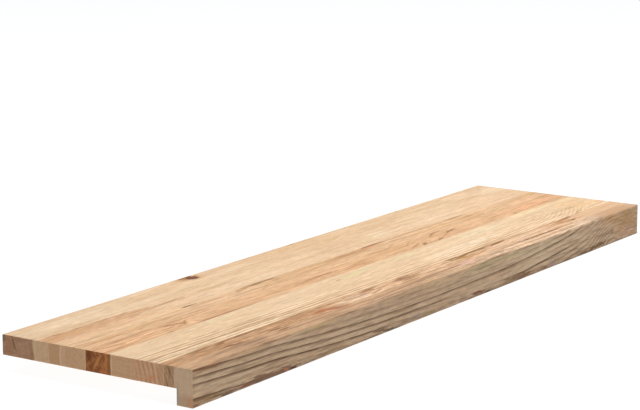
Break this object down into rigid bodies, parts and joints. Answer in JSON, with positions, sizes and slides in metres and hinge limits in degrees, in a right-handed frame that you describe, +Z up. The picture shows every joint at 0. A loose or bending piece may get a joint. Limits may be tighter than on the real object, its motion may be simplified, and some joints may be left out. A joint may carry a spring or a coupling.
{
  "type": "stair tread",
  "caption": "Rectangular wooden stair tread glued up from full-length staves, with a taller front strip whose lower edge hangs below the board as a square nosing lip.",
  "frame": {"origin": "middle of the footprint, level with the lip's lower edge", "axes": "+X along the tread, +Y from the nosing to the back edge, +Z up; the walking surface is the top face"},
  "size_m": [1.2, 0.3, 0.048],
  "materials": {
    "stave_1": "sanded bare wood, satin",
    "stave_2": "sanded bare wood, satin",
    "stave_3": "sanded bare wood, satin",
    "stave_4": "sanded bare wood, satin",
    "stave_5": "sanded bare wood, satin",
    "stave_6": "sanded bare wood, satin",
    "stave_7": "sanded bare wood, satin",
    "nosing_strip": "sanded bare wood, satin"
  },
  "bodies": {
    "root": {"stave_1": "stave_1", "stave_2": "stave_2", "stave_3": "stave_3", "stave_4": "stave_4", "stave_5": "stave_5", "stave_6": "stave_6", "stave_7": "stave_7", "nosing_strip": "nosing_strip"}
  },
  "joints": []
}
